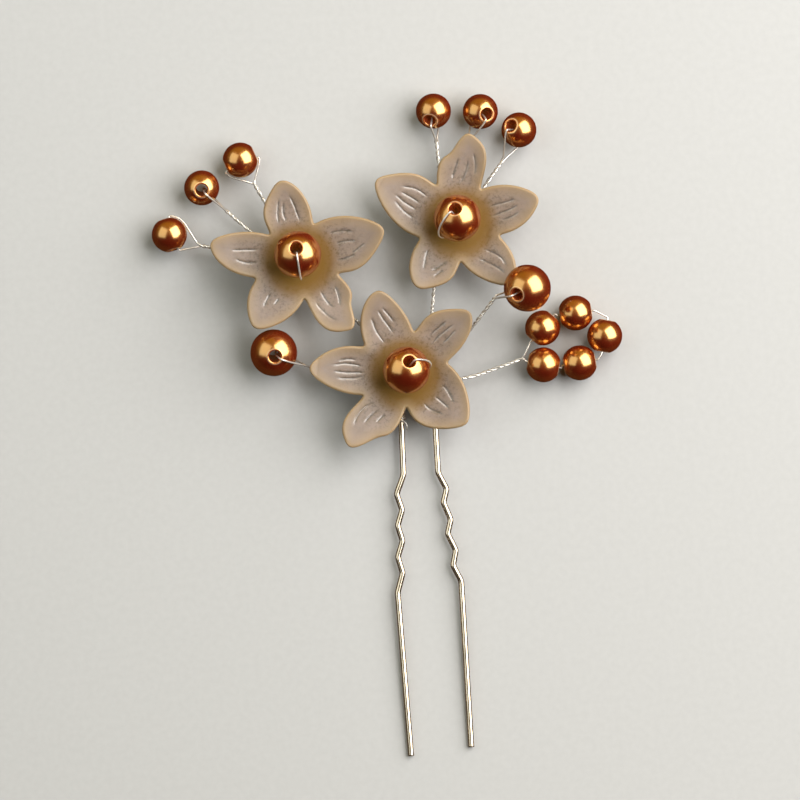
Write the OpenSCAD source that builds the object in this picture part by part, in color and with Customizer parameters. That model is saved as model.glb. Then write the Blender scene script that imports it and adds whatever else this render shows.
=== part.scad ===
// Decorative hair pin: a two-legged pin with wired flowers and pearls, lying flat on a table.
// +Z is up from the table, +Y runs from the leg tips to the crown, and X runs across the legs.
// The origin is on the table plane, straight below the middle of the pin's crown.

/* [Pin] */
// Thickness of the pin wire
pin_d = 1.0; // [0.8:0.1:1.0]
// Diameter of the crown's bend, measured on the wire's centreline
crown_d = 5.74; // [5.5:0.01:6]
// Height of the crown's centreline above the table
crown_z = 1.85; // [1.8:0.05:1.9]

/* [Beads] */
// Diameter of the small pearls
small_pearl_d = 6; // [5.8:0.1:6]
// Diameter of the large pearls
large_pearl_d = 8; // [7.8:0.1:8]
// Diameter of the hole through every pearl
pearl_bore_d = 2.2; // [2:0.1:2.2]

/* [Flowers] */
// Diameter of the hole through a flower's middle
flower_bore_d = 2.2; // [2:0.1:2.4]
// Thickness of a flower at its middle
flower_hub_t = 1.8; // [1.6:0.1:1.8]
// Thickness of a petal at its rim
petal_rim_t = 0.7; // [0.6:0.1:0.8]
// How far a petal's tip rises above the flower's back
petal_rise = 2.6; // [2:0.1:2.6]

/* [Wires] */
// Thickness of one strand of the binding and stem wire
strand_d = 0.3; // [0.25:0.01:0.3]
// Thickness over a stem of two strands twisted together
stem_d = 0.6; // [0.5:0.05:0.6]
// Free space between a strand and the pearl it bends round
strand_gap = 0.2; // [0.15:0.05:0.25]

/* [Hidden] */
$fn = 64;

silver = [0.80, 0.76, 0.70];
petal_cream = [0.78, 0.72, 0.62, 0.9];
pearl_copper = [0.72, 0.36, 0.12];

small_r = small_pearl_d / 2;
large_r = large_pearl_d / 2;
strand_r = strand_d / 2;
stem_r = stem_d / 2;

// Each pearl: its name, middle, radius, and the compass direction and elevation of its hole
PEARLS = [
    ["center_pearl_left", [-18.5, 23.5, 11.9], large_r, 98, 74],
    ["center_pearl_top", [8.95, 27.8, 10.4], large_r, 101, 65],
    ["center_pearl_bottom", [-1.45, 2.65, 10.0], large_r, 67, 66],
    ["accent_pearl_left", [-23.85, 7.2, 4.6], large_r, -72, 79],
    ["accent_pearl_right", [20.0, 15.1, 11.0], large_r, -153, 55],
    ["sprig_pearl_left_a", [-27.3, 40.5, 3.2], small_r, 20, 0],
    ["sprig_pearl_left_b", [-34.2, 36.2, 3.55], small_r, -84, 80],
    ["sprig_pearl_left_c", [-40.3, 28.6, 3.0], small_r, -77, 5],
    ["sprig_pearl_top_a", [6.25, 46.55, 3.4], small_r, -113, 48],
    ["sprig_pearl_top_b", [14.25, 45.9, 3.5], small_r, -32, 64],
    ["sprig_pearl_top_c", [20.6, 42.3, 3.5], small_r, 152, 55],
    ["ring_pearl_a", [22.3, 8.25, 3.0], small_r, 45, 0],
    ["ring_pearl_b", [28.1, 10.4, 3.0], small_r, 4, 0],
    ["ring_pearl_c", [32.8, 6.15, 3.0], small_r, -104, 0],
    ["ring_pearl_d", [28.2, 1.85, 3.0], small_r, 186, 0],
    ["ring_pearl_e", [22.0, 1.95, 3.0], small_r, 165, 0]];

// A petal narrows from its tip to the valley on each side, partly as a point and partly as a
// round shoulder: the share of the point and the fullness of the shoulder on its clockwise side,
// then on its counter-clockwise side. The first petal of the mould has a notch beside its tip.
PETAL_SHAPE = [[0.3, 4.0, 0.6, 2.1], [0.7, 5.0, 0.7, 1.0], [0.0, 1.2, 0.6, 5.0],
    [0.7, 1.0, 0.1, 1.3], [0.6, 2.1, 0.4, 1.0]];
point_power = 0.7;
notch_depth = 1.6;
notch_place = 0.3;
notch_width = 0.2;
tip_rounding = 0.1;

// Each flower: its name, the middle of its back, its turn, and its petals, counter-clockwise.
// A petal is its direction, its reach, and the direction and reach of the valley that follows it.
FLOWERS = [
    ["flower_left", [-18.4, 22.5, 5.5], -58,
        [[4, 15.0, 36, 6.3], [74, 15.6, 123, 6.5], [158, 14.1, 191, 6.1], [222, 15.5, 256, 7.6],
            [290, 13.9, 334, 6.0]]],
    ["flower_top", [9.15, 26.85, 4.0], 76,
        [[5, 15.9, 40, 7.0], [72, 16.2, 120, 6.8], [158, 13.0, 192, 6.0], [231, 13.7, 265, 6.8],
            [298, 14.5, 340, 6.5]]],
    ["flower_bottom", [-1.75, 1.8, 3.6], -128,
        [[-3, 15.8, 36, 4.9], [86, 13.5, 142, 7.3], [169, 15.6, 201, 7.0], [231, 15.3, 269, 8.1],
            [300, 16.6, 332, 7.1]]]];

// Parts of the reach at which a flower's surface has its rings, and degrees between its spokes
flower_ring_steps = [0.24, 0.42, 0.6, 0.76, 0.9, 1];
flower_direction_step = 4;
// A petal is flat and thick near the middle, then rises and thins as far as the full radius
petal_flat_r = 3;
petal_full_r = 15;
petal_rise_power = 1.5;
petal_thinning_power = 0.7;
bore_margin = 2;

// ---- directions and paths

function unit(v) = v / norm(v);
function compass(azimuth, elevation) =
    [cos(azimuth) * cos(elevation), sin(azimuth) * cos(elevation), sin(elevation)];
function turn(angle) = angle - 360 * round(angle / 360);
function angle_between(u, v) = acos(max(-1, min(1, unit(u) * unit(v))));
function row_named(rows, name) = [for (row = rows) if (row[0] == name) row][0];

// Direction of a path at point i, from its neighbours
function heading(path, i) = unit(path[min(i + 1, len(path) - 1)] - path[max(i - 1, 0)]);
// A direction square to the heading, as near as it can be to the one before it
function square_to(v, along) = unit(v - (v * along) * along);
function path_sides(path, first) =
    [for (i = 0, side = square_to(first, heading(path, 0));
          i < len(path);
          i = i + 1, side = i < len(path) ? square_to(side, heading(path, i)) : side) side];

// Where a wire's corners start from: a direction that no wire runs along
first_side = [0.13, 0.21, 0.97];
// A wire: a tube round the path, whose radius is given at each point
module wire(path, radii, sides = 6) {
    lean = path_sides(path, first_side);
    rings = len(path);
    points = [for (i = [0 : rings - 1], k = [0 : sides - 1])
        path[i] + radii[i] * (cos(360 * k / sides) * lean[i]
            + sin(360 * k / sides) * cross(heading(path, i), lean[i]))];
    walls = [for (i = [0 : rings - 2], k = [0 : sides - 1], half = [0, 1])
        half == 0
            ? [i * sides + k, (i + 1) * sides + k, (i + 1) * sides + (k + 1) % sides]
            : [i * sides + k, (i + 1) * sides + (k + 1) % sides, i * sides + (k + 1) % sides]];
    start_cap = [for (k = [0 : sides - 1]) k];
    end_cap = [for (k = [sides - 1 : -1 : 0]) (rings - 1) * sides + k];
    polyhedron(points, concat(walls, [start_cap], [end_cap]), convexity = 6);
}

// Points at even steps along a smooth curve through the given points
function curve_point(p0, p1, p2, p3, t) =
    0.5 * (2 * p1 + (p2 - p0) * t + (2 * p0 - 5 * p1 + 4 * p2 - p3) * t * t
        + (3 * p1 - p0 - 3 * p2 + p3) * t * t * t);
function smooth(points, steps = 3) = concat(
    [for (i = [0 : len(points) - 2], s = [0 : steps - 1])
        curve_point(points[max(i - 1, 0)], points[i], points[i + 1],
            points[min(i + 2, len(points) - 1)], s / steps)],
    [points[len(points) - 1]]);

// ---- pearls

module pearl(name) {
    row = row_named(PEARLS, name);
    color(pearl_copper)
        translate(row[1])
            rotate([0, 90 - row[4], row[3]])
                difference() {
                    sphere(r = row[2]);
                    cylinder(h = 2 * (row[2] + bore_margin), d = pearl_bore_d, center = true);
                }
}

// ---- flowers

function softened(t) = (sqrt(t * t + tip_rounding * tip_rounding) - tip_rounding)
    / (sqrt(1 + tip_rounding * tip_rounding) - tip_rounding);
// Reach of petal k in a direction, or 0 outside that petal's two valleys
function lobe(petals, k, direction) =
    let (petal = petals[k], before = petals[(k + 4) % 5],
        away = turn(direction - petal[0]),
        ccw = away >= 0,
        span = ccw ? turn(petal[2] - petal[0]) : turn(petal[0] - before[2]),
        valley = ccw ? petal[3] : before[3],
        share = PETAL_SHAPE[k][ccw ? 2 : 0],
        fullness = PETAL_SHAPE[k][ccw ? 3 : 1],
        t = abs(away) / span,
        fall = share * pow(softened(t), point_power) + (1 - share) * pow(softened(t), fullness),
        notch = k == 0 && ccw ? notch_depth * exp(-pow((t - notch_place) / notch_width, 2)) : 0)
    t > 1 ? 0 : valley + (petal[1] - valley) * (1 - fall) - notch;
function reach(petals, direction) = max([for (k = [0 : 4]) lobe(petals, k, direction)]);

function petal_slope(r) = pow(max(0, r - petal_flat_r) / (petal_full_r - petal_flat_r), petal_rise_power);
function petal_back(r) = petal_rise * petal_slope(r);
function petal_front(r) = petal_back(r)
    + petal_rim_t + (flower_hub_t - petal_rim_t) * pow(max(0, 1 - r / petal_full_r), petal_thinning_power);

module flower(name) {
    row = row_named(FLOWERS, name);
    petals = row[3];
    count = 360 / flower_direction_step;
    rings = len(flower_ring_steps);
    outline = [for (i = [0 : count - 1]) reach(petals, i * flower_direction_step)];
    function spot(i, j, front) =
        let (r = outline[i] * flower_ring_steps[j], a = i * flower_direction_step)
        [r * cos(a), r * sin(a), front ? petal_front(r) : petal_back(r)];
    back_start = rings * count;
    middle = 2 * rings * count;
    points = concat(
        [for (j = [0 : rings - 1], i = [0 : count - 1]) spot(i, j, true)],
        [for (j = [0 : rings - 1], i = [0 : count - 1]) spot(i, j, false)],
        [[0, 0, petal_front(0)], [0, 0, 0]]);
    front_faces = [for (j = [0 : rings - 2], i = [0 : count - 1])
        [j * count + i, j * count + (i + 1) % count, (j + 1) * count + (i + 1) % count,
            (j + 1) * count + i]];
    back_faces = [for (j = [0 : rings - 2], i = [0 : count - 1])
        [back_start + (j + 1) * count + i, back_start + (j + 1) * count + (i + 1) % count,
            back_start + j * count + (i + 1) % count, back_start + j * count + i]];
    rim_faces = [for (i = [0 : count - 1])
        [(rings - 1) * count + i, (rings - 1) * count + (i + 1) % count,
            back_start + (rings - 1) * count + (i + 1) % count,
            back_start + (rings - 1) * count + i]];
    front_middle = [for (i = [0 : count - 1]) [middle, (i + 1) % count, i]];
    back_middle = [for (i = [0 : count - 1])
        [middle + 1, back_start + i, back_start + (i + 1) % count]];
    color(petal_cream)
        translate(row[1])
            rotate([0, 0, row[2]])
                difference() {
                    polyhedron(points, concat(front_faces, back_faces, rim_faces, front_middle,
                        back_middle), convexity = 10);
                    translate([0, 0, -bore_margin])
                        cylinder(h = flower_hub_t + 2 * bore_margin, d = flower_bore_d);
                }
}

// ---- pin

pin_r = pin_d / 2;
crown_r = crown_d / 2;
tip_z = pin_r;
tip_y = -63;
// Height of the pin's centreline: it leans evenly from its crown down to its tips
function pin_z(y) = tip_z + (crown_z - tip_z) * (y - tip_y) / (0 - tip_y);
function on_pin(x, y) = [x, y, pin_z(y)];
// Bends of each leg from the crown down: sideways distance from the middle, and place along Y
LEFT_BENDS = [[-3.2, -15.2], [-4.6, -18.4], [-3.85, -21.2], [-4.8, -23.8], [-4.15, -26.5],
    [-5.15, -29.2], [-4.5, -32.0], [-5.6, -35.3]];
RIGHT_BENDS = [[2.75, -15.3], [4.0, -18.1], [3.3, -20.4], [4.35, -23.4], [3.65, -25.8],
    [4.85, -28.7], [4.2, -31.3], [5.4, -34.0]];
LEFT_TIP = [-5.25, -63.3];
RIGHT_TIP = [5.15, -62.5];
crown_step = 15;
// How far each straight end runs up into the crimps, and how far before a bend the wire turns
leg_overlap = 0.6;
crimp_round = 0.5;
// The many-sided crimps are a little thinner than the round ends that they run into
crimp_thinning = 0.97;

// Two points in place of each bend, so that the wire turns over a short length
function eased(points, i) =
    let (here = points[i], back = unit(points[i - 1] - here), on = unit(points[i + 1] - here))
    [here + crimp_round * back, here + crimp_round * on];
function crimped(bends) =
    let (line = [for (b = bends) on_pin(b[0], b[1])])
    concat([for (i = [1 : len(line) - 2], p = eased(line, i)) p], [line[len(line) - 1]]);
function reversed(list) = [for (i = [len(list) - 1 : -1 : 0]) list[i]];

function crown_arc() = [for (a = [180 : -crown_step : 0])
    on_pin(crown_r * cos(a), -crown_r + crown_r * sin(a))];
function with_start(bends) = concat([[sign(bends[0][0]) * crown_r, -crown_r]], bends);

module leg(knee, tip) {
    start = on_pin(knee[0], knee[1]);
    end = on_pin(tip[0], tip[1]);
    along = unit(end - start);
    from = start - leg_overlap * along;
    translate(from)
        rotate([0, acos(along[2]), atan2(along[1], along[0])])
            cylinder(h = norm(end - from), r = pin_r);
}

module hairpin_wire() {
    path = concat(reversed(crimped(with_start(LEFT_BENDS))), crown_arc(),
        crimped(with_start(RIGHT_BENDS)));
    last = len(LEFT_BENDS) - 1;
    color(silver) {
        wire(path, [for (p = path) pin_r * crimp_thinning], 12);
        leg(LEFT_BENDS[last], LEFT_TIP);
        leg(RIGHT_BENDS[last], RIGHT_TIP);
    }
}

// Fine wire wound round the top of the left leg, over the ends of the stems
binding_turns = 7;
binding_pitch = 0.62;
binding_gap = 0.06;
binding_top_y = -2.6;
binding_step = 36;
binding_r = pin_r + strand_r + binding_gap;
// Sideways place of the left leg's straight top at a place along Y
function left_leg_x(y) = -crown_r
    + (LEFT_BENDS[0][0] + crown_r) * (y + crown_r) / (LEFT_BENDS[0][1] + crown_r);
module binding_wire() {
    path = [for (a = [0 : binding_step : 360 * binding_turns])
        let (y = binding_top_y - binding_pitch * a / 360)
        on_pin(left_leg_x(y), y) + binding_r * [cos(a), 0, sin(a)]];
    color(silver) wire(path, [for (p = path) strand_r]);
}

// ---- wires

// Stems through a flower: its name, its flower, its pearl, the compass direction in which the
// strand comes back over the pearl, and points from the crown to below the flower
FLOWER_STEMS = [
    ["flower_wire_left", "flower_left", "center_pearl_left", -86,
        [[-1.5, -0.1, 2.65], [-4.6, 6.2, 2.4], [-9.4, 11.7, 2.3], [-15.2, 18.6, 2.3],
            [-18.1, 22.0, 3.0]]],
    ["flower_wire_top", "flower_top", "center_pearl_top", -138,
        [[0.6, 0.1, 2.65], [2.6, 6.0, 2.4], [3.6, 12.3, 2.3], [5.0, 19.0, 2.3], [8.9, 26.4, 2.7]]],
    ["flower_wire_bottom", "flower_bottom", "center_pearl_bottom", 10,
        [[-0.5, -0.9, 2.68], [-0.9, 0.3, 2.68], [-1.6, 1.5, 2.9]]]];

// Stems that end in a loop through one pearl: its name, its pearl, and points to its fork
LOOPED_STEMS = [
    ["accent_wire_left", "accent_pearl_left",
        [[-2.4, -1.0, 2.65], [-6.5, 1.6, 2.3], [-12.5, 3.6, 2.3], [-17.6, 4.2, 3.4]]],
    ["accent_wire_right", "accent_pearl_right",
        [[1.4, -0.5, 2.65], [4.9, 3.4, 2.4], [9.9, 8.8, 4.4], [14.5, 14.0, 8.9]]],
    ["sprig_wire_left_a", "sprig_pearl_left_a",
        [[-18.5, 22.9, 2.2], [-20.0, 26.0, 2.2], [-23.5, 32.8, 2.3], [-25.4, 36.6, 2.8]]],
    ["sprig_wire_left_b", "sprig_pearl_left_b",
        [[-17.9, 22.0, 2.2], [-21.6, 24.2, 2.2], [-26.0, 27.8, 2.3], [-30.4, 32.1, 2.8]]],
    ["sprig_wire_left_c", "sprig_pearl_left_c",
        [[-16.4, 20.1, 2.2], [-20.4, 21.3, 2.2], [-28.0, 24.6, 2.3], [-35.7, 26.5, 2.8]]],
    ["sprig_wire_top_a", "sprig_pearl_top_a",
        [[8.5, 27.5, 2.2], [7.6, 31.0, 2.2], [6.6, 36.5, 2.3], [6.4, 41.6, 2.8]]],
    ["sprig_wire_top_b", "sprig_pearl_top_b",
        [[9.5, 27.6, 2.2], [10.9, 33.0, 2.2], [11.9, 38.0, 2.3], [12.2, 41.4, 2.8]]],
    ["sprig_wire_top_c", "sprig_pearl_top_c",
        [[9.7, 26.6, 2.2], [11.0, 28.9, 2.2], [14.6, 33.8, 2.3], [17.8, 37.7, 2.8]]]];

// The stem of the ring of pearls, whose last point is its fork
RING_STEM = [[2.1, -1.3, 2.65], [5.0, 0.2, 2.3], [9.5, 0.8, 2.3], [12.7, 1.6, 2.5], [18.9, 3.4, 2.9]];

// A strand swings round a pearl in steps, from where it meets the pearl to beside the hole
swing_step = 18;
swing_end = 5;
shortest_swing = 12;
// Where the strand turns inside a hole, and how near to the fork its end comes
hole_turn = 0.8;
loop_end = 0.75;
// Heights of a stem's last two points, from the back of its flower
below_flower = -0.5;
in_flower = 0.6;
// Where the strand starts and turns in the hole of a flower's pearl, and its bend over that pearl
hole_start = 0.97;
hole_top = 0.9;
over_start = 15;
over_end = 123;

// A strand from where it meets the pearl to beside the mouth of the hole
function swing(middle, hole, toward, ride_r, fork) =
    let (side = unit(toward - (toward * hole) * hole),
        most = angle_between(toward, hole) - acos(min(1, ride_r / norm(fork - middle))))
    [for (a = [max(most, shortest_swing) : -swing_step : swing_end])
        middle + ride_r * (cos(a) * hole + sin(a) * side)];
// A strand from the fork, over the pearl, through its hole and back to just short of the fork
function loop_round(name, fork) =
    let (row = row_named(PEARLS, name), middle = row[1], hole = compass(row[3], row[4]),
        ride_r = row[2] + strand_gap + strand_r, toward = fork - middle,
        over = swing(middle, hole, toward, ride_r, fork),
        under = swing(middle, -hole, toward, ride_r, fork))
    concat(over, [middle + row[2] * hole_turn * hole, middle - row[2] * hole_turn * hole],
        reversed(under), [under[0] + loop_end * (fork - under[0])]);

// A stem through the given points, whose last point is the fork, and the loop beyond it
module looped_wire(pearl_name, stem_points) {
    stem = smooth(stem_points);
    loop = loop_round(pearl_name, stem_points[len(stem_points) - 1]);
    color(silver)
        wire(concat(stem, loop), concat([for (p = stem) stem_r], [for (p = loop) strand_r]));
}

// A stem up through a flower, on through its pearl as one strand, and back down over the pearl
module flower_wire(flower_name, pearl_name, over_direction, stem_points) {
    back = row_named(FLOWERS, flower_name)[1];
    row = row_named(PEARLS, pearl_name);
    middle = row[1];
    hole = compass(row[3], row[4]);
    ride_r = row[2] + strand_gap + strand_r;
    front_side = square_to(compass(over_direction, 0), hole);
    stem = concat(smooth(stem_points), [back + [0, 0, below_flower], back + [0, 0, in_flower]]);
    strand = concat([middle - row[2] * hole_start * hole, middle + row[2] * hole_top * hole],
        [for (a = [over_start : swing_step : over_end])
            middle + ride_r * (cos(a) * hole + sin(a) * front_side)]);
    color(silver)
        wire(concat(stem, strand), concat([for (p = stem) stem_r], [for (p = strand) strand_r]));
}

// The stem's strand goes on through the five pearls of the ring and ends beside the fork
module ring_wire() {
    stem = smooth(RING_STEM);
    beads = [for (name = ["a", "b", "c", "d", "e"]) row_named(PEARLS, str("ring_pearl_", name))];
    strand = [for (bead = beads, end = [-1, 0, 1])
        bead[1] + end * (small_r + strand_gap) * compass(bead[3], 0)];
    color(silver)
        wire(concat(stem, strand), concat([for (p = stem) stem_r], [for (p = strand) strand_r]));
}

hairpin_wire();
binding_wire();
for (row = FLOWERS)
    flower(row[0]);
for (row = PEARLS)
    pearl(row[0]);
for (row = FLOWER_STEMS)
    flower_wire(row[1], row[2], row[3], row[4]);
for (row = LOOPED_STEMS)
    looped_wire(row[1], row[2]);
ring_wire();
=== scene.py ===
import math

import bpy
import numpy as np
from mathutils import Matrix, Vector


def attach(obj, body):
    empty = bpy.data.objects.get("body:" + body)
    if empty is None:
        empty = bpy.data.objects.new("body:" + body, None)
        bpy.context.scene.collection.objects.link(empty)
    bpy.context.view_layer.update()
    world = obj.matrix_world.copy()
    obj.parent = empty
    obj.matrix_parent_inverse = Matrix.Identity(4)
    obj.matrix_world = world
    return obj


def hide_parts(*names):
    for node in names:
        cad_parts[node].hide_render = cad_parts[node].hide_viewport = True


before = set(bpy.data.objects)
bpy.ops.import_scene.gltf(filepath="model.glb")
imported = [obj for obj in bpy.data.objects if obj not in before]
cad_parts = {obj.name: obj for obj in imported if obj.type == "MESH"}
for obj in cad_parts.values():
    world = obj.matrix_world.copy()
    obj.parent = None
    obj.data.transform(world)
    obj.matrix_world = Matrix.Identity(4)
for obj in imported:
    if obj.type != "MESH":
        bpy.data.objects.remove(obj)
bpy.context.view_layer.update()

# A decorative hair pin lying on its back: a two-legged pin, three frosted flowers, sixteen copper
# pearls and the twisted silver wires that hold them. Lengths are in millimetres until a mesh is made.

collection = bpy.context.scene.collection
MM = 0.001

# ---- camera
# A long lens straight above the table, which frames the whole pin and flattens its depth. It is
# turned a little, so that the legs lean.

view_middle = (-2.9, -2.35)
view_width = 136.75
view_roll = math.radians(-4)
lens_mm = 300
sensor_mm = 36

camera_data = bpy.data.cameras.new("studio_camera")
camera = bpy.data.objects.new("studio_camera", camera_data)
collection.objects.link(camera)
camera_data.lens = lens_mm
camera_data.sensor_width = sensor_mm
camera_data.clip_end = 20
camera_height = view_width * lens_mm / sensor_mm + 4
camera.location = (view_middle[0] * MM, view_middle[1] * MM, camera_height * MM)
camera.rotation_euler = (0, 0, view_roll)
bpy.context.scene.camera = camera
bpy.context.scene.view_settings.view_transform = "Standard"

# ---- floor, lights and surroundings
# A pale paper floor and two large softboxes above the flowers, to their left and right, the right one
# much the stronger. Pearls and wire mirror a dim room in place of the floor and the backdrop: dark
# towards the tips and golden towards the crown, so that the pearls keep dark red lower halves.


def new_material(name):
    """A material with only a Principled BSDF and its output: returns the material and the nodes."""
    material = bpy.data.materials.new(name)
    material.use_nodes = True
    tree = material.node_tree
    shader = tree.nodes["Principled BSDF"]
    return material, tree, shader


def add_node(tree, kind, inputs=None, **settings):
    """A node of a kind, with its settings, and with values or links for its named inputs."""
    node = tree.nodes.new(kind)
    for name, value in settings.items():
        setattr(node, name, value)
    for name, value in (inputs or {}).items():
        if isinstance(value, bpy.types.NodeSocket):
            tree.links.new(value, node.inputs[name])
        else:
            node.inputs[name].default_value = value
    return node


def ramp(tree, value, stops):
    """A colour ramp over a value: stops are (position, colour)."""
    node = add_node(tree, "ShaderNodeValToRGB", {"Fac": value})
    for i, (position, colour) in enumerate(stops):
        if i < 2:
            element = node.color_ramp.elements[i]
            element.position = position
        else:
            element = node.color_ramp.elements.new(position)
        element.color = (*colour, 1)
    return node.outputs["Color"]


def mix_colour(tree, factor, first, second):
    """Two colours mixed by a factor."""
    node = tree.nodes.new("ShaderNodeMix")
    node.data_type = "RGBA"
    for index, value in ((0, factor), (6, first), (7, second)):
        if isinstance(value, bpy.types.NodeSocket):
            tree.links.new(value, node.inputs[index])
        elif index == 0:
            node.inputs[index].default_value = value
        else:
            node.inputs[index].default_value = (*value, 1)
    return node.outputs[2]


def maths(tree, operation, *values):
    """One step of arithmetic on values."""
    node = tree.nodes.new("ShaderNodeMath")
    node.operation = operation
    for socket, value in zip(node.inputs, values):
        if isinstance(value, bpy.types.NodeSocket):
            tree.links.new(value, socket)
        else:
            socket.default_value = value
    return node.outputs[0]


def object_place(tree, scale=(1, 1, 1)):
    """Object coordinates, scaled for a pattern."""
    place = add_node(tree, "ShaderNodeTexCoord").outputs["Object"]
    return add_node(tree, "ShaderNodeMapping", {"Vector": place, "Scale": scale}).outputs["Vector"]


def make_floor():
    """A square of pale paper with a very fine tooth, paler towards its edges, where less light
    falls. Reflections don't show it."""
    half = 0.7
    mesh = bpy.data.meshes.new("paper_floor")
    mesh.from_pydata([(-half, -half, 0), (half, -half, 0), (half, half, 0), (-half, half, 0)], [],
                     [(0, 1, 2, 3)])
    floor = bpy.data.objects.new("paper_floor", mesh)
    collection.objects.link(floor)
    material, tree, shader = new_material("pale_paper")
    place = object_place(tree)
    tooth = add_node(tree, "ShaderNodeTexNoise", {"Vector": place, "Scale": 900.0})
    shade = ramp(tree, tooth.outputs["Fac"], [(0.3, (0.480, 0.482, 0.488)), (0.7, (0.500, 0.502, 0.508))])
    distance = add_node(tree, "ShaderNodeVectorMath", {0: place}, operation="LENGTH").outputs["Value"]
    outer = ramp(tree, distance, [(0.14, (0, 0, 0)), (0.50, (1, 1, 1))])
    paper = mix_colour(tree, outer, shade, (0.80, 0.80, 0.82))
    tree.links.new(paper, shader.inputs["Base Color"])
    shader.inputs["Roughness"].default_value = 0.9
    shader.inputs["Specular IOR Level"].default_value = 0.1
    mesh.materials.append(material)
    floor.visible_glossy = False


make_floor()


def softbox(name, toward, distance, size, power, colour):
    """A rectangular area light that faces the flowers from a direction."""
    target = Vector((view_middle[0], view_middle[1], 5)) * MM
    direction = Vector(toward).normalized()
    data = bpy.data.lights.new(name, "AREA")
    data.shape = "RECTANGLE"
    data.size, data.size_y = size
    data.energy = power
    data.color = colour
    light = bpy.data.objects.new(name, data)
    collection.objects.link(light)
    light.location = target + direction * distance
    light.rotation_euler = direction.to_track_quat("Z", "Y").to_euler()
    light.visible_camera = False


softbox("softbox_left", (-0.68, 0.29, 0.67), 0.62, (0.66, 0.60), 1.6, (0.92, 1.0, 1.0))
softbox("softbox_right", (0.68, 0.29, 0.67), 0.62, (0.80, 0.70), 9.8, (1.0, 0.98, 0.95))


def make_world():
    """A pale backdrop to the camera. To everything else it is a dim room: dark towards -Y, golden
    towards +Y, and low below the horizon."""
    world = bpy.data.worlds.new("studio_room")
    bpy.context.scene.world = world
    world.use_nodes = True
    tree = world.node_tree
    background = tree.nodes["Background"]
    direction = add_node(tree, "ShaderNodeTexCoord").outputs["Generated"]
    parts = add_node(tree, "ShaderNodeSeparateXYZ", {"Vector": direction})
    along_y = maths(tree, "MULTIPLY_ADD", parts.outputs["Y"], 0.5, 0.5)
    room = ramp(tree, along_y, [(0.35, (0.012, 0.010, 0.008)), (0.62, (0.18, 0.14, 0.035)),
                                (0.95, (0.35, 0.27, 0.040))])
    height = maths(tree, "MULTIPLY_ADD", parts.outputs["Z"], 2.5, 0.6)
    above = ramp(tree, height, [(0.0, (0, 0, 0)), (1.0, (1, 1, 1))])
    room = mix_colour(tree, above, (0.07, 0.035, 0.018), room)
    seen = add_node(tree, "ShaderNodeLightPath").outputs["Is Camera Ray"]
    tree.links.new(mix_colour(tree, seen, room, (0.75, 0.74, 0.72)), background.inputs["Color"])


make_world()

# ---- pin wire
# The pin is one piece of bright plated wire: a round crown, two legs crimped in a zigzag so that
# hair holds them, then two straight ends cut off flat. It leans from the crown to its tips.

pin_r = 0.5
crown_r = 2.87
crown_z = 1.85
tip_z = 0.5
tip_y = -63
LEFT_BENDS = [(-3.2, -15.2), (-4.6, -18.4), (-3.85, -21.2), (-4.8, -23.8), (-4.15, -26.5),
              (-5.15, -29.2), (-4.5, -32.0), (-5.6, -35.3)]
RIGHT_BENDS = [(2.75, -15.3), (4.0, -18.1), (3.3, -20.4), (4.35, -23.4), (3.65, -25.8),
               (4.85, -28.7), (4.2, -31.3), (5.4, -34.0)]
LEFT_TIP = (-5.25, -63.3)
RIGHT_TIP = (5.15, -62.5)


def unit(v):
    """Vectors scaled to length 1."""
    return v / np.linalg.norm(v, axis=-1, keepdims=True)


def resampled(points, step):
    """Points at even steps along a broken line."""
    points = np.asarray(points, float)
    lengths = np.concatenate([[0], np.cumsum(np.linalg.norm(np.diff(points, axis=0), axis=1))])
    count = max(2, int(round(lengths[-1] / step)) + 1)
    at = np.linspace(0, lengths[-1], count)
    return np.stack([np.interp(at, lengths, points[:, k]) for k in range(3)], axis=1)


def softened(points, step, passes):
    """An even line whose corners are rounded by repeated averaging; its ends stay where they are."""
    line = resampled(points, step)
    for _ in range(passes):
        line[1:-1] = (line[:-2] + 2 * line[1:-1] + line[2:]) / 4
    return line


def frames_along(path):
    """Tangents of a path, and two directions square to them that turn as little as possible."""
    along = unit(np.gradient(path, axis=0))
    side = np.empty_like(path)
    first = np.array([0.13, 0.21, 0.97])
    side[0] = unit(first - along[0] * (first @ along[0]))
    for i in range(1, len(path)):
        side[i] = side[i - 1] - along[i] * (side[i - 1] @ along[i])
        side[i] /= np.linalg.norm(side[i])
    return along, side, np.cross(along, side)


def make_piece(name, points, faces, body, node, material):
    """A smooth-shaded mesh object at the origin, which rides on a body and replaces a CAD node."""
    mesh = bpy.data.meshes.new(name)
    mesh.from_pydata((np.asarray(points) * MM).tolist(), [], faces)
    mesh.polygons.foreach_set("use_smooth", np.ones(len(mesh.polygons), bool))
    mesh.materials.append(material)
    piece = bpy.data.objects.new(name, mesh)
    collection.objects.link(piece)
    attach(piece, body)
    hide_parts(node)
    return piece


def grid_faces(rows, columns, close_rows=False):
    """Four-sided faces over a grid of points whose columns run round a closed ring."""
    last = rows if close_rows else rows - 1
    i, k = np.meshgrid(np.arange(last), np.arange(columns), indexing="ij")
    following, beside = (i + 1) % rows, (k + 1) % columns
    quads = np.stack([i * columns + k, following * columns + k, following * columns + beside,
                      i * columns + beside], axis=-1)
    return quads.reshape(-1, 4).tolist()


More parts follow.
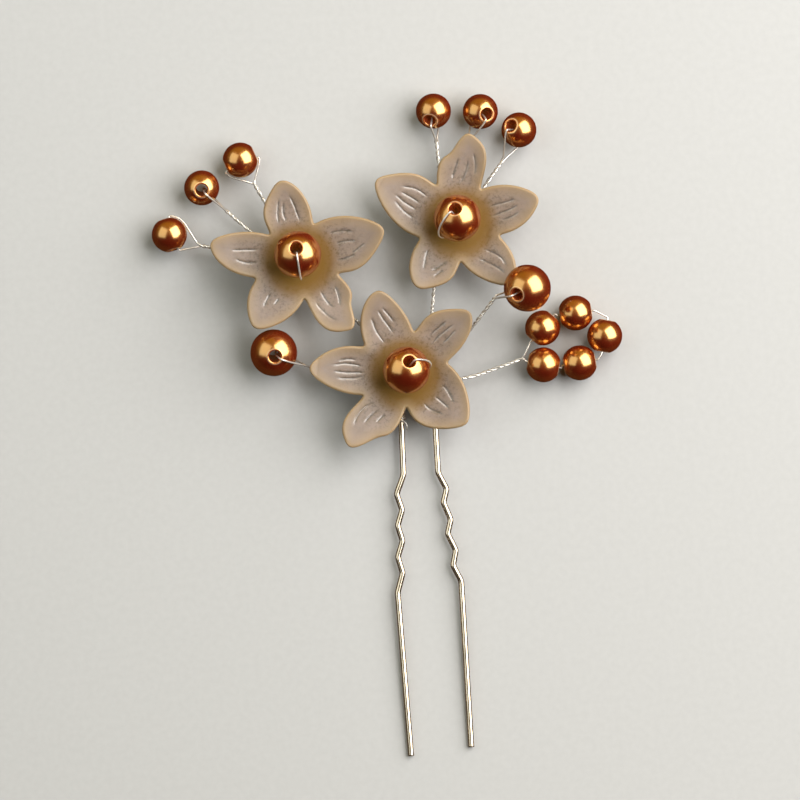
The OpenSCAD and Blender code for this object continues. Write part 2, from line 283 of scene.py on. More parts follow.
def tube(path, radius, sides):
    """Points and faces of a tube round a path: radius * (cos a * side + sin a * across) at each
    point, and a smaller ring past each end that eases the edge of the flat cut."""
    end_cut = 0.12
    along, side, across = frames_along(path)
    angle = np.arange(sides) * 2 * np.pi / sides
    ring = np.cos(angle)[None, :, None] * side[:, None] + np.sin(angle)[None, :, None] * across[:, None]
    points = path[:, None] + radius * ring
    cut_start = path[0] - along[0] * end_cut * radius + ring[0] * radius * (1 - end_cut)
    cut_end = path[-1] + along[-1] * end_cut * radius + ring[-1] * radius * (1 - end_cut)
    points = np.concatenate([cut_start[None], points, cut_end[None]])
    rows = len(points)
    faces = grid_faces(rows, sides)
    faces.append(list(range(sides)))
    faces.append([(rows - 1) * sides + k for k in range(sides - 1, -1, -1)])
    return points.reshape(-1, 3), faces


def pin_height(y):
    """How high the pin's centreline runs: it sinks evenly from the crown to the tips."""
    return tip_z + (crown_z - tip_z) * (y - tip_y) / -tip_y


def on_pin(x, y):
    """A point on the pin's centreline."""
    return (x, y, pin_height(y))


def plated_wire(name, tone, shine, metallic):
    """Bright silver plating: lengthwise draw marks, small dull patches and a warm cast."""
    material, tree, shader = new_material(name)
    patches = add_node(tree, "ShaderNodeTexNoise", {"Vector": object_place(tree), "Scale": 420.0,
                                                    "Detail": 4.0}).outputs["Fac"]
    colour = ramp(tree, patches, [(0.3, tuple(0.72 * c for c in tone)), (0.62, tone)])
    tree.links.new(colour, shader.inputs["Base Color"])
    dullness = add_node(tree, "ShaderNodeMapRange", {"Value": patches, "To Min": shine + 0.16,
                                                     "To Max": shine}).outputs["Result"]
    tree.links.new(dullness, shader.inputs["Roughness"])
    marks = add_node(tree, "ShaderNodeTexNoise", {"Vector": object_place(tree, (1, 0.08, 1)),
                                                  "Scale": 5200.0, "Detail": 2.0}).outputs["Fac"]
    bump = add_node(tree, "ShaderNodeBump", {"Height": marks, "Strength": 0.25,
                                             "Distance": 0.00001})
    tree.links.new(bump.outputs["Normal"], shader.inputs["Normal"])
    shader.inputs["Metallic"].default_value = metallic
    return material


pin_metal = plated_wire("silver_plated_pin", (0.82, 0.70, 0.55), 0.07, 0.94)


def make_pin():
    """The pin's centreline, from one tip over the crown to the other, carried as a round wire."""
    turn = np.linspace(math.pi, 0, 25)
    crown = [on_pin(crown_r * math.cos(a), -crown_r + crown_r * math.sin(a)) for a in turn]
    left = [on_pin(*spot) for spot in [LEFT_TIP] + LEFT_BENDS[::-1]]
    right = [on_pin(*spot) for spot in RIGHT_BENDS + [RIGHT_TIP]]
    path = softened(left + crown + right, 0.16, 5)
    points, faces = tube(path, pin_r, 24)
    make_piece("pin_metal", points, faces, "pin", "hairpin_wire", pin_metal)


make_pin()

# ---- frosted flowers
# Three flower beads from one mould, in frosted acrylic: five petals with a rolled rim, engraved
# veins and a hole through the hub. The first petal of the mould has a notch beside its tip.

hub_t = 1.8
rim_t = 0.7
petal_rise = 2.6
flat_r = 3
full_r = 15
bore_r = 1.1
side_lift = 0.75
rim_lip = 0.45
hole_lip = 0.35
rim_band = 2.2
vein_w = 0.11
vein_depth = 0.05
shoulder_w = 0.3
shoulder_depth = 0.09
notch_depth = 1.6
notch_place = 0.3
notch_width = 0.2
# For each petal of the mould: share of the point and fullness of the shoulder on its clockwise
# side, then on its counter-clockwise side
PETAL_SHAPE = np.array([(0.3, 4.0, 0.6, 2.1), (0.7, 5.0, 0.7, 1.0), (0.0, 1.2, 0.6, 5.0),
                        (0.7, 1.0, 0.1, 1.3), (0.6, 2.1, 0.4, 1.0)])
# The middle of its back and its turn, then each petal's direction, reach, and following valley
FLOWERS = {
    "left": ((-18.4, 22.5, 5.5), -58,
             [(4, 15.0, 36, 6.3), (74, 15.6, 123, 6.5), (158, 14.1, 191, 6.1),
              (222, 15.5, 256, 7.6), (290, 13.9, 334, 6.0)]),
    "top": ((9.15, 26.85, 4.0), 76,
            [(5, 15.9, 40, 7.0), (72, 16.2, 120, 6.8), (158, 13.0, 192, 6.0),
             (231, 13.7, 265, 6.8), (298, 14.5, 340, 6.5)]),
    "bottom": ((-1.75, 1.8, 3.6), -128,
               [(-3, 15.8, 36, 4.9), (86, 13.5, 142, 7.3), (169, 15.6, 201, 7.0),
                (231, 15.3, 269, 8.1), (300, 16.6, 332, 7.1)])}
# The engraved veins of each petal: each starts and ends at a distance along the petal's axis and
# aside of it, and bows sideways between
VEINS = {
    "left": [[(7.2, -2.3, 11.8, -1.6, -0.4), (6.3, -0.4, 9.8, -0.6, -0.3), (7.1, 1.9, 10.5, 0.4, 0.2)],
             [(6.5, 2.6, 10.4, 1.4, 0.4), (7.1, 0.6, 10.3, -0.1, 0.2), (8.9, -1.8, 11.6, -1.0, 0),
              (6.1, -2.1, 9.4, -2.2, -0.1)],
             [(7.1, 1.8, 11.0, 0.8, 0.2), (7.0, 0.5, 10.4, 0.1, 0.3), (6.3, -1.8, 11.3, -1.1, -0.1)],
             [(7.1, -0.6, 11.8, 0.6, 0.1), (6.9, 1.7, 10.8, 2.0, 0.3)],
             [(7.2, 0.7, 8.6, 0.6, 0.1), (7.4, -0.8, 10.0, -0.5, -0.2)]],
    "top": [[(6.9, 0.4, 11.1, -0.6, -0.3), (7.5, 1.7, 11.2, 1.0, 0.1), (8.6, -2.0, 12.4, -1.5, -0.2)],
            [(6.9, -1.7, 11.7, -1.1, -0.5), (7.6, 0, 11.3, -0.2, -0.2), (7.6, 1.2, 12.0, 0.6, 0.1),
             (7.3, 2.7, 11.6, 1.5, 0.2)],
            [(6.4, -2.1, 9.7, -1.0, -0.1), (6.3, 1.8, 9.2, 0.2, 0.1), (8.0, 1.9, 9.8, 1.2, 0)],
            [(5.9, 0.3, 10.8, 1.5, 0.7), (6.6, -1.3, 11.6, 0.5, 0.3)],
            [(6.0, 1.2, 10.6, 1.0, 0.1), (5.8, -0.4, 10.7, 0, -0.1), (7.2, -1.6, 10.4, -1.2, -0.1)]],
    "bottom": [[(7.0, -1.6, 12.3, -1.7, -0.7), (7.3, 0.1, 10.8, -0.6, -0.3), (7.4, 1.3, 9.4, 0.9, 0)],
               [(6.0, 2.6, 9.5, 1.3, 0.3), (6.3, 0.3, 9.4, 0.1, 0.1), (5.5, -1.8, 9.2, -1.2, -0.3)],
               [(7.0, 0.5, 12.0, 0.2, 0.3), (8.4, -0.7, 11.6, -0.6, 0), (7.8, 1.8, 11.6, 1.5, 0.1)],
               [(7.4, -0.3, 12.0, 1.2, 0.1), (6.2, 1.7, 11.1, 2.6, 0.3), (9.2, -0.9, 12.2, 0.3, 0)],
               [(7.4, -1.0, 12.6, -0.8, -0.4), (7.0, 0, 12.3, 0.2, 0.1), (7.2, 0.6, 11.6, 1.2, 0.3),
                (8.4, -2.1, 11.6, -1.6, -0.2)]]}


def turned(angle):
    """An angle in degrees, brought between -180 and 180."""
    return angle - 360 * np.round(angle / 360)


def petal_outline(petals, direction):
    """For each direction: the outline's reach, the petal that it is in, and how far it is from
    that petal's axis, from -1 at one valley to 1 at the next. A side falls from its tip to its
    valley as share * t ** 0.7 + (1 - share) * t ** fullness."""
    rounding = 0.17
    best = np.zeros_like(direction)
    which = np.zeros(direction.shape, int)
    aside = np.zeros_like(direction)
    for k, (axis, length, valley, valley_r) in enumerate(petals):
        before, before_r = petals[k - 1][2], petals[k - 1][3]
        away = turned(direction - axis)
        ccw = away >= 0
        span = np.where(ccw, turned(valley - axis), turned(axis - before))
        low = np.where(ccw, valley_r, before_r)
        t = np.abs(away) / span
        even = (np.sqrt(t ** 2 + rounding ** 2) - rounding) / (math.hypot(1, rounding) - rounding)
        even = np.clip(even, 0, 1)
        share = np.where(ccw, PETAL_SHAPE[k][2], PETAL_SHAPE[k][0])
        fullness = np.where(ccw, PETAL_SHAPE[k][3], PETAL_SHAPE[k][1])
        reach = low + (length - low) * (1 - share * even ** 0.7 - (1 - share) * even ** fullness)
        if k == 0:
            notch = notch_depth * np.exp(-((t - notch_place) / notch_width) ** 2)
            reach = reach - np.where(ccw, notch, 0)
        inside = (t <= 1) & (reach > best)
        best = np.where(inside, reach, best)
        which = np.where(inside, k, which)
        aside = np.where(inside, np.where(ccw, t, -t), aside)
    return best, which, aside


def smooth_ring(values, reach):
    """Values round a closed ring, each averaged with its neighbours."""
    count = 2 * reach + 1
    return np.convolve(np.concatenate([values[-reach:], values, values[:reach]]),
                       np.ones(count) / count, "valid")


def flower_surface(petals, veins_of_petals):
    """The closed surface of a flower. The profile runs from the hole over the front to the rim and
    back along the underside; radius = hole + (outline - hole) * s, height = middle + half
    thickness, where the middle rises with the radius and lifts at the petals' sides, and the half
    thickness closes as a round lip at the rim and at the hole. Veins are cut into the front as
    shallow grooves, each with a soft shoulder on both sides."""
    directions = np.arange(720) * 0.5
    outline, which, sideways = petal_outline(petals, directions)
    outline = smooth_ring(smooth_ring(outline, 6), 5)
    lifted = smooth_ring(sideways ** 2, 12)
    s = (np.sin(np.linspace(0, 1, 60) * np.pi / 2) ** 0.9)[:, None]
    radius = bore_r + (outline - bore_r) * s
    rise = petal_rise * (np.clip(radius - flat_r, 0, None) / (full_r - flat_r)) ** 1.5
    thickness = rim_t + (hub_t - rim_t) * np.clip(1 - radius / full_r, 0, None) ** 0.7
    a = np.radians(directions)
    x, y = radius * np.cos(a), radius * np.sin(a)
    to_rim = np.full_like(radius, 99.0)
    for offset in range(-110, 111):
        to_rim = np.minimum(to_rim, np.hypot(x - np.roll(x[-1], offset), y - np.roll(y[-1], offset)))
    to_hole = radius - bore_r
    at_rim = np.sqrt(np.clip(1 - (1 - np.clip(to_rim / rim_lip, 0, 1)) ** 2, 0, 1))
    at_hole = np.sqrt(np.clip(1 - (1 - np.clip(to_hole / hole_lip, 0, 1)) ** 2, 0, 1))
    middle = rise + thickness / 2 + side_lift * lifted * np.clip((radius - 5) / 6, 0, 1)
    half = thickness / 2 * at_rim * (0.3 + 0.7 * at_hole)
    half[0] = thickness[0] / 2 * 0.3
    off = np.radians(turned(directions - np.array([row[0] for row in petals])[which]))
    onward, aside = radius * np.cos(off), radius * np.sin(off)
    veins = np.zeros_like(radius)
    shoulders = np.zeros_like(radius)
    for k, lines in enumerate(veins_of_petals):
        for start, start_aside, end, end_aside, bow in lines:
            t = np.clip((onward - start) / (end - start), 0, 1)
            line = start_aside + (end_aside - start_aside) * t + bow * (1 - (2 * t - 1) ** 2)
            line = line + 0.03 * np.sin(onward * 2.1 + 5 * start_aside)
            present = np.clip(np.sin(t * np.pi) * 1.8, 0, 1) ** 0.8 * (which == k)
            veins = np.maximum(veins, present * np.exp(-((aside - line) / vein_w) ** 2))
            shoulder = present * np.exp(-((aside - line) / shoulder_w) ** 2)
            shoulders = np.maximum(shoulders, shoulder)
    engraved = vein_depth * veins + shoulder_depth * shoulders
    front = np.stack([radius, middle + half - engraved], axis=-1)
    back = np.stack([radius, middle - half], axis=-1)[-2:0:-1]
    profile = np.concatenate([front, back])
    points = np.stack([profile[..., 0] * np.cos(a), profile[..., 0] * np.sin(a), profile[..., 1]],
                      axis=-1)
    rows = len(profile)

    def both(values):
        """The front's values, repeated on the back."""
        return np.concatenate([values, values[-2:0:-1]])

    empty = np.zeros_like(veins)[-2:0:-1]
    masks = {"rim": both(np.clip(1 - to_rim / rim_band, 0, 1)), "heart": both(radius / full_r),
             "vein": np.concatenate([veins, empty]), "shoulder": np.concatenate([shoulders, empty])}
    return points.reshape(-1, 3), grid_faces(rows, len(directions), close_rows=True), masks


def frosted_acrylic():
    """Frosted cream acrylic: amber at the rim, olive round the hub, with dark speckles, veins painted
    darker as painted shade in their grooves, polished shoulders beside them, and a fine sandblasted grain."""
    material, tree, shader = new_material("frosted_acrylic")
    mask = {name: add_node(tree, "ShaderNodeAttribute", attribute_name=name).outputs["Fac"]
            for name in ("rim", "heart", "vein", "shoulder")}
    place = object_place(tree)
    cloud = add_node(tree, "ShaderNodeTexNoise", {"Vector": place, "Scale": 260.0, "Detail": 4.0})
    body = ramp(tree, cloud.outputs["Fac"], [(0.35, (0.240, 0.180, 0.143)), (0.7, (0.305, 0.236, 0.198))])
    speck = add_node(tree, "ShaderNodeTexNoise", {"Vector": place, "Scale": 1700.0, "Detail": 5.0,
                                                  "Roughness": 0.75})
    speck_mask = ramp(tree, speck.outputs["Fac"], [(0.50, (0, 0, 0)), (0.60, (1, 1, 1))])
    near_heart = ramp(tree, mask["heart"], [(0.3, (0.80, 0.80, 0.80)), (0.55, (0.42, 0.42, 0.42)),
                                            (0.85, (0.06, 0.06, 0.06))])
    near_veins = maths(tree, "MULTIPLY", mask["shoulder"], 0.35)
    speck_share = maths(tree, "MULTIPLY", maths(tree, "ADD", near_heart, near_veins), speck_mask)
    speckled = mix_colour(tree, speck_share, body, (0.085, 0.060, 0.030))
    # An olive tint round the hub: full under the pearl, gone about 7 mm from the middle.
    olive = ramp(tree, mask["heart"], [(0.27, (1, 1, 1)), (0.36, (0.80, 0.80, 0.80)),
                                       (0.48, (0, 0, 0))])
    hub = mix_colour(tree, olive, speckled, (0.195, 0.098, 0.008))
    # Painted shade: the veins' grooves are painted darker.
    groove_shaded = mix_colour(tree, maths(tree, "MULTIPLY", mask["vein"], 0.65), hub, (0.050, 0.042, 0.030))
    warm = ramp(tree, mask["rim"], [(0.05, (0, 0, 0)), (0.65, (0.45, 0.45, 0.45)), (0.98, (1, 1, 1))])
    colour = mix_colour(tree, warm, groove_shaded, (0.35, 0.24, 0.125))
    tree.links.new(colour, shader.inputs["Base Color"])
    grain = add_node(tree, "ShaderNodeTexNoise", {"Vector": place, "Scale": 3500.0, "Detail": 3.0})
    bump = add_node(tree, "ShaderNodeBump", {"Height": grain.outputs["Fac"], "Strength": 0.3,
                                             "Distance": 0.00004})
    tree.links.new(bump.outputs["Normal"], shader.inputs["Normal"])
    polish = ramp(tree, mask["shoulder"], [(0.25, (0, 0, 0)), (0.6, (1, 1, 1))])
    tree.links.new(polish, shader.inputs["Coat Weight"])
    shader.inputs["Coat Roughness"].default_value = 0.14
    shader.inputs["Coat IOR"].default_value = 1.65
    shader.inputs["Roughness"].default_value = 0.45
    shader.inputs["Subsurface Weight"].default_value = 0.3
    shader.inputs["Subsurface Radius"].default_value = (1.0, 0.65, 0.35)
    shader.inputs["Subsurface Scale"].default_value = 0.001
    shader.inputs["IOR"].default_value = 1.49
    return material


acrylic = frosted_acrylic()


def make_flower(which):
    """One flower bead, turned and set in its place."""
    middle, turn, petals = FLOWERS[which]
    points, faces, masks = flower_surface(petals, VEINS[which])
    c, s = math.cos(math.radians(turn)), math.sin(math.radians(turn))
    points = points @ np.array([[c, s, 0], [-s, c, 0], [0, 0, 1]]) + np.array(middle)
    name = "flower_" + which
    piece = make_piece(name + "_acrylic", points, faces, name, name, acrylic)
    for mask_name, values in masks.items():
        attribute = piece.data.attributes.new(mask_name, "FLOAT", "POINT")
        attribute.data.foreach_set("value", values.reshape(-1).astype(np.float32))


for which_flower in FLOWERS:
    make_flower(which_flower)

# ---- copper pearls
# Sixteen drilled craft pearls: a plastic core under a red lacquer with a golden sheen. The lacquer
# ends in a pale ring at each mouth of the hole; the hole's wall is painted a brighter red, painted
# light for the little light that reaches inside.

# The middle of each pearl, its radius, and its hole's compass angle and height above the table
PEARLS = {
    "center_pearl_left": ((-18.5, 23.5, 11.9), 4, 98, 74),
    "center_pearl_top": ((8.95, 27.8, 10.4), 4, 101, 65),
    "center_pearl_bottom": ((-1.45, 2.65, 10.0), 4, 67, 66),
    "accent_pearl_left": ((-23.85, 7.2, 4.6), 4, -72, 79),
    "accent_pearl_right": ((20.0, 15.1, 11.0), 4, -153, 55),
    "sprig_pearl_left_a": ((-27.3, 40.5, 3.2), 3, 20, 0),
    "sprig_pearl_left_b": ((-34.2, 36.2, 3.55), 3, -84, 80),
    "sprig_pearl_left_c": ((-40.3, 28.6, 3.0), 3, -77, 5),
    "sprig_pearl_top_a": ((6.25, 46.55, 3.4), 3, -113, 48),
    "sprig_pearl_top_b": ((14.25, 45.9, 3.5), 3, -32, 64),
    "sprig_pearl_top_c": ((20.6, 42.3, 3.5), 3, 152, 55),
    "ring_pearl_a": ((22.3, 8.25, 3.0), 3, 45, 0),
    "ring_pearl_b": ((28.1, 10.4, 3.0), 3, 4, 0),
    "ring_pearl_c": ((32.8, 6.15, 3.0), 3, -104, 0),
    "ring_pearl_d": ((28.2, 1.85, 3.0), 3, 186, 0),
    "ring_pearl_e": ((22.0, 1.95, 3.0), 3, 165, 0)}


def compass(azimuth, elevation):
    """A direction from its compass angle and its height above the table, in degrees."""
    a, e = math.radians(azimuth), math.radians(elevation)
    return np.array([math.cos(a) * math.cos(e), math.sin(a) * math.cos(e), math.sin(e)])


def pearl_surface(radius):
    """A drilled ball about its hole: a profile of (distance from the axis, height), carried round
    the axis. The ball's arc meets the hole's wall in a small round lip at both mouths."""
    lip_r = 0.2
    arc_steps, wall_steps, round_steps = 60, 10, 96
    mouth = bore_r + lip_r
    start = math.asin(mouth / radius)
    arc = np.linspace(start, math.pi - start, arc_steps)
    ball = np.stack([radius * np.sin(arc), radius * np.cos(arc)], axis=1)
    edge_z = ball[0, 1]
    bend = np.linspace(0, 1, 7)[1:-1] * (math.pi / 2 + start)
    lower = np.stack([mouth + lip_r * np.sin(start - bend) - lip_r * math.sin(start),
                      -edge_z + lip_r * (math.cos(start) - np.cos(start - bend))], axis=1)
    wall_z = np.linspace(-edge_z + lip_r, edge_z - lip_r, wall_steps)
    wall = np.stack([np.full(wall_steps, bore_r), wall_z], axis=1)
    upper = lower[::-1] * np.array([1, -1])
    profile = np.concatenate([ball, lower, wall, upper])
    angle = np.arange(round_steps) * 2 * np.pi / round_steps
    points = np.stack([profile[:, :1] * np.cos(angle), profile[:, :1] * np.sin(angle),
                       np.repeat(profile[:, 1:], round_steps, axis=1)], axis=-1)
    distance = np.repeat(profile[:, :1], round_steps, axis=1)
    outside = np.zeros((len(profile), round_steps))
    outside[:arc_steps] = 1
    lip = np.exp(-((distance - mouth + 0.02) / 0.12) ** 2) * np.where(distance > bore_r + 0.01, 1, 0)
    faces = grid_faces(len(profile), round_steps, close_rows=True)
    return points, faces, {"lip": lip, "outside": outside}


def pearl_lacquer():
    """Deep red lacquer under a golden nacre that reflects like a tinted mirror, and a clear coat:
    clouded a little, with a pale ring at the hole, and the bore painted a brighter red as painted
    light, for the little light that reaches inside."""
    material, tree, shader = new_material("copper_pearl_lacquer")
    lip = add_node(tree, "ShaderNodeAttribute", attribute_name="lip").outputs["Fac"]
    outside = add_node(tree, "ShaderNodeAttribute", attribute_name="outside").outputs["Fac"]
    place = object_place(tree)
    cloud = add_node(tree, "ShaderNodeTexNoise", {"Vector": place, "Scale": 700.0, "Detail": 4.0})
    red = ramp(tree, cloud.outputs["Fac"], [(0.3, (0.14, 0.003, 0.001)), (0.7, (0.19, 0.007, 0.002))])
    # A pale ring at each mouth of the hole.
    ringed = mix_colour(tree, maths(tree, "MULTIPLY", lip, 0.9), red, (0.95, 0.66, 0.40))
    # Painted light: the hole's wall is painted a brighter red than the ball, for the little light that
    # reaches inside.
    colour = mix_colour(tree, outside, (0.50, 0.09, 0.03), ringed)
    tree.links.new(colour, shader.inputs["Base Color"])
    satin = add_node(tree, "ShaderNodeMapRange", {"Value": cloud.outputs["Fac"], "To Min": 0.19,
                                                  "To Max": 0.27})
    tree.links.new(satin.outputs["Result"], shader.inputs["Roughness"])
    ripple = add_node(tree, "ShaderNodeTexNoise", {"Vector": place, "Scale": 900.0, "Detail": 2.0})
    bump = add_node(tree, "ShaderNodeBump", {"Height": ripple.outputs["Fac"], "Strength": 0.12,
                                             "Distance": 0.00003})
    tree.links.new(bump.outputs["Normal"], shader.inputs["Normal"])
    shader.inputs["IOR"].default_value = 6.0
    shader.inputs["Specular Tint"].default_value = (1.0, 0.60, 0.20, 1)
    shader.inputs["Coat Weight"].default_value = 0.5
    shader.inputs["Coat Roughness"].default_value = 0.06
    shader.inputs["Coat IOR"].default_value = 1.5
    return material


lacquer = pearl_lacquer()


def make_pearl(name):
    """One pearl, with its hole turned to its own direction."""
    middle, radius, azimuth, elevation = PEARLS[name]
    points, faces, masks = pearl_surface(radius)
    hole = compass(azimuth, elevation)
    first = unit(np.cross([0.31, 0.17, 0.05], hole))
    second = np.cross(hole, first)
    points = (points @ np.stack([first, second, hole])).reshape(-1, 3) + np.array(middle)
    piece = make_piece(name + "_bead", points, faces, name, name, lacquer)
    for mask_name, values in masks.items():
        attribute = piece.data.attributes.new(mask_name, "FLOAT", "POINT")
        attribute.data.foreach_set("value", values.reshape(-1).astype(np.float32))


for pearl_name in PEARLS:
    make_pearl(pearl_name)

# ---- stems
# Each stem is one strand of fine silver wire, doubled back through its pearl and twisted on itself.
# At the crown both ends are wrapped round the pin. The sprigs' stems start at a flower's stem.

strand_r = 0.16
strand_gap = 0.12
wrap_r = 0.68
wrap_turns = 2
wrap_spread = 14
mouth_angle = 16
twist_pitch = 2.1
silver_strand = plated_wire("silver_strand", (0.99, 0.95, 0.89), 0.12, 0.65)


def curve_through(points, steps=12):
    """A smooth curve through points: each stretch is a Catmull-Rom cubic."""
    p = np.asarray(points, float)
    p = np.concatenate([2 * p[:1] - p[1:2], p, 2 * p[-1:] - p[-2:-1]])
    t = (np.arange(steps) / steps)[None, :, None]
    a, b, c, d = p[:-3, None], p[1:-2, None], p[2:-1, None], p[3:, None]
    curve = 0.5 * (2 * b + (c - a) * t + (2 * a - 5 * b + 4 * c - d) * t ** 2
                   + (3 * b - a - 3 * c + d) * t ** 3)
    return np.concatenate([curve.reshape(-1, 3), p[-2:-1]])


def out_of_hole(middle, way, side, radius):
    """Two points of a strand that comes out of a pearl's hole one way and bends to a side."""
    return [middle + way * radius * 0.5 + side * 0.4, middle + way * radius * 0.93 + side * 0.78]


def over_pearl(name, fork):
    """The strand's two ways round a pearl, each from the hole's mouth to where it leaves for the
    fork: an arc in the plane of the hole and the fork."""
    middle, radius, azimuth, elevation = PEARLS[name]
    middle = np.array(middle)
    hole = compass(azimuth, elevation)
    ride = radius + strand_gap + strand_r
    toward = fork - middle
    leaves = math.acos(min(1, ride / np.linalg.norm(toward)))
    arcs = []
    for way in (hole, -hole):
        side = unit(toward - way * (toward @ way))
        last = math.acos(np.clip(unit(toward) @ way, -1, 1)) - leaves
        last = max(last, math.radians(mouth_angle + 2))
        angles = np.linspace(math.radians(mouth_angle), last, 14)
        round_it = [middle + ride * (math.cos(a) * way + math.sin(a) * side) for a in angles]
        arcs.append(np.array(out_of_hole(middle, way, side, radius) + round_it))
    return arcs


def twisted(stem, end_side, seed):
    """Two strands twisted along a stem: centre + r * (cos p * side + sin p * across), half a turn
    apart, whose phase at the end puts the first strand on the end side. The pitch and the
    tightness wander a little, as in a hand twist."""
    line = softened(stem, 0.1, 6)
    along, side, across = frames_along(line)
    s = np.arange(len(line)) * 0.1
    wander = 0.5 * np.sin(s * 1.3 + seed) + 0.35 * np.sin(s * 2.9 + 2 * seed)
    phase = 2 * np.pi * s / twist_pitch + wander
    wanted = math.atan2(end_side @ across[-1], end_side @ side[-1])
    phase += wanted - phase[-1]
    spread = strand_r * (1.04 + 0.22 * np.maximum(0, np.sin(s * 0.9 + 3 * seed)) ** 4)
    opening = strand_r * np.clip(1 - (s[-1] - s) / 0.8, 0, 1) ** 2
    toward = np.cos(phase)[:, None] * side + np.sin(phase)[:, None] * across
    offset = (spread + opening)[:, None] * toward
    return line + offset, line - offset


def crown_spot(angle):
    """A point on the crown's centreline, and the wire's direction there."""
    a = math.radians(angle)
    spot = np.array(on_pin(crown_r * math.cos(a), -crown_r + crown_r * math.sin(a)))
    return spot, np.array([-math.sin(a), math.cos(a), 0])


def crown_wrap(angle, hand):
    """A strand's end wrapped round the crown, from its free end up to the top of the last turn:
    spot + r * (cos p * up + sin p * outward), where the spot moves along the crown."""
    up = np.array([0, 0, 1])
    points = []
    for t in np.linspace(0, 1, wrap_turns * 16):
        spot, along = crown_spot(angle + hand * wrap_spread * (1 - t))
        outward = np.cross(along, up)
        p = 2 * math.pi * wrap_turns * (t - 1)
        points.append(spot + wrap_r * (math.cos(p) * up + math.sin(p) * hand * outward))
    return np.array(points)


def make_wire(node, stem_points, arcs, seed, crown_angle=None):
    """A whole stem: the first strand out along the twist, round the pearl, and the second back. A
    stem that starts at the crown has both ends wrapped round it."""
    stem = curve_through(stem_points)
    fork = stem[-1]
    over, under = arcs
    first, second = twisted(stem, unit(over[-1] - fork), seed)
    hoop = np.concatenate([over[::-1], under])
    parts = [first, hoop, second[::-1]]
    if crown_angle is not None:
        parts = [crown_wrap(crown_angle, 1)] + parts + [crown_wrap(crown_angle, -1)[::-1]]
    path = softened(np.concatenate(parts), 0.09, 5)
    points, faces = tube(path, strand_r, 8)
    make_piece(node + "_strand", points, faces, "pin", node, silver_strand)


def pearl_stem(node, pearl_name, stem_points, seed, crown_angle=None):
    """A stem that ends in a loop through one pearl."""
    arcs = over_pearl(pearl_name, np.array(stem_points[-1], float))
    make_wire(node, stem_points, arcs, seed, crown_angle)


def flower_stem(which, stem_points, over_direction, seed, crown_angle):
    """A stem that rises through a flower: one strand goes on through the pearl, over its front
    and down its side, and is tucked back under it to meet the other in the flower's hole."""
    back = np.array(FLOWERS[which][0])
    middle, radius, azimuth, elevation = PEARLS["center_pearl_" + which]
    middle = np.array(middle)
    hole = compass(azimuth, elevation)
    lean = compass(over_direction, 0)
    side = unit(lean - hole * (lean @ hole))
    ride = radius + strand_gap + strand_r
    stem = list(stem_points) + [back + [0, 0, -0.6], back + [0, 0, 1.2]]
    up = np.array([middle - hole * radius * 0.9] + out_of_hole(middle, hole, side, radius))
    over = np.array([middle + ride * (math.cos(a) * hole + math.sin(a) * side)
                     for a in np.radians(np.linspace(mouth_angle, 160, 26))])
    make_wire("flower_wire_" + which, stem, (up[::-1], over), seed, crown_angle)


flower_stem("left", [(-1.5, -0.1, 2.65), (-4.6, 6.2, 2.4), (-9.4, 11.7, 2.3), (-15.2, 18.6, 2.3),
                     (-18.1, 22.0, 3.0)], -86, 1.1, 117)
flower_stem("top", [(0.6, 0.1, 2.65), (2.6, 6.0, 2.4), (3.6, 12.3, 2.3), (5.0, 19.0, 2.3),
                    (8.9, 26.4, 2.7)], -138, 2.3, 77)
flower_stem("bottom", [(-0.5, -0.9, 2.68), (-0.9, 0.3, 2.68), (-1.6, 1.5, 2.9)], 10, 0.7, 97)
pearl_stem("accent_wire_left", "accent_pearl_left",
           [(-2.4, -1.0, 2.65), (-6.5, 1.6, 2.3), (-12.5, 3.6, 2.3), (-17.6, 4.2, 3.4)], 3.1, 138)
pearl_stem("accent_wire_right", "accent_pearl_right",
           [(1.4, -0.5, 2.65), (4.9, 3.4, 2.4), (9.9, 8.8, 4.4), (14.5, 14.0, 8.9)], 4.2, 57)
pearl_stem("sprig_wire_left_a", "sprig_pearl_left_a",
           [(-18.5, 22.9, 2.2), (-20.0, 26.0, 2.2), (-23.5, 32.8, 2.3), (-25.4, 36.6, 2.8)], 5.0)
pearl_stem("sprig_wire_left_b", "sprig_pearl_left_b",
           [(-17.9, 22.0, 2.2), (-21.6, 24.2, 2.2), (-26.0, 27.8, 2.3), (-30.4, 32.1, 2.8)], 6.0)
pearl_stem("sprig_wire_left_c", "sprig_pearl_left_c",
           [(-16.4, 20.1, 2.2), (-20.4, 21.3, 2.2), (-28.0, 24.6, 2.3), (-35.7, 26.5, 2.8)], 7.3)
pearl_stem("sprig_wire_top_a", "sprig_pearl_top_a",
           [(8.5, 27.5, 2.2), (7.6, 31.0, 2.2), (6.6, 36.5, 2.3), (6.4, 41.6, 2.8)], 8.1)
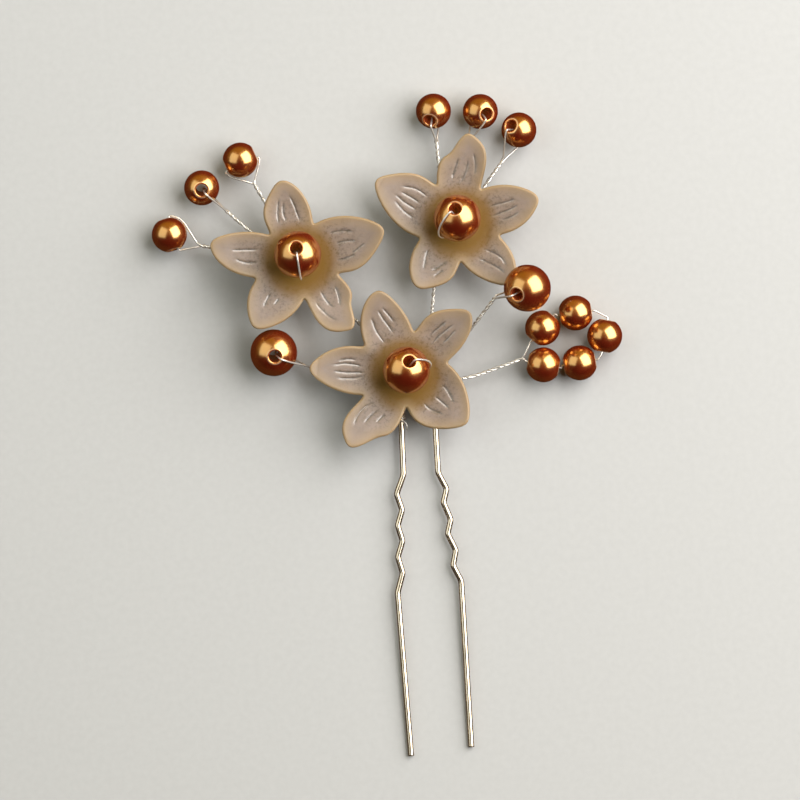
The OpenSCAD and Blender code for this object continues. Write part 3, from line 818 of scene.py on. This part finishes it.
pearl_stem("sprig_wire_top_b", "sprig_pearl_top_b",
           [(9.5, 27.6, 2.2), (10.9, 33.0, 2.2), (11.9, 38.0, 2.3), (12.2, 41.4, 2.8)], 9.7)
pearl_stem("sprig_wire_top_c", "sprig_pearl_top_c",
           [(9.7, 26.6, 2.2), (11.0, 28.9, 2.2), (14.6, 33.8, 2.3), (17.8, 37.7, 2.8)], 10.4)

# ---- ring of pearls
# Five small pearls on one strand of the fine wire. It threads them into a ring, and its two ends are
# twisted into the stem, which is wrapped round the crown like the others.

ring_fork = (18.9, 3.4, 2.9)


def make_ring_wire():
    """The stem's strands part at the fork: the ring runs through each pearl's hole in turn."""
    beads = [PEARLS["ring_pearl_" + letter] for letter in "abcde"]
    spots = [np.array(bead[0]) + end * (bead[1] + 0.2) * compass(bead[2], bead[3])
             for bead in beads for end in (-1, 0, 1)]
    ring = np.array(spots)
    make_wire("ring_wire", [(2.1, -1.3, 2.65), (5.0, 0.2, 2.3), (9.5, 0.8, 2.3), (12.7, 1.6, 2.5),
                            ring_fork], (ring[:7][::-1], ring[7:]), 11.9, 37)


make_ring_wire()

# ---- binding
# A separate length of the fine silver wire, coiled down the top of the left leg to lock the stems.
# Its cut end springs out beside the leg.


def make_binding():
    """A coil round the leg: centre + r * (cos a, 0, -sin a), stepping down by a pitch a turn, whose
    last end springs away from the leg."""
    turns, pitch, top_y = 6.75, 0.5, -2.6
    a = np.linspace(0, 2 * np.pi * turns, int(28 * turns))
    y = top_y - pitch * a / (2 * np.pi)
    coil_r = pin_r + strand_r + 0.03 + 0.05 * np.sin(a * 0.37)
    z = pin_height(y) - coil_r * np.sin(a)
    x = -crown_r - 0.02 * (top_y - y) + coil_r * np.cos(a)
    end = curve_through([(-2.5, -6.05, 2.45), (-2.15, -6.45, 2.4), (-2.0, -7.0, 2.25), (-2.0, -7.5, 2.05)])
    path = softened(np.concatenate([np.stack([x, y, z], axis=1), end]), 0.09, 3)
    points, faces = tube(path, strand_r, 8)
    make_piece("binding_strand", points, faces, "pin", "binding_wire", silver_strand)


make_binding()
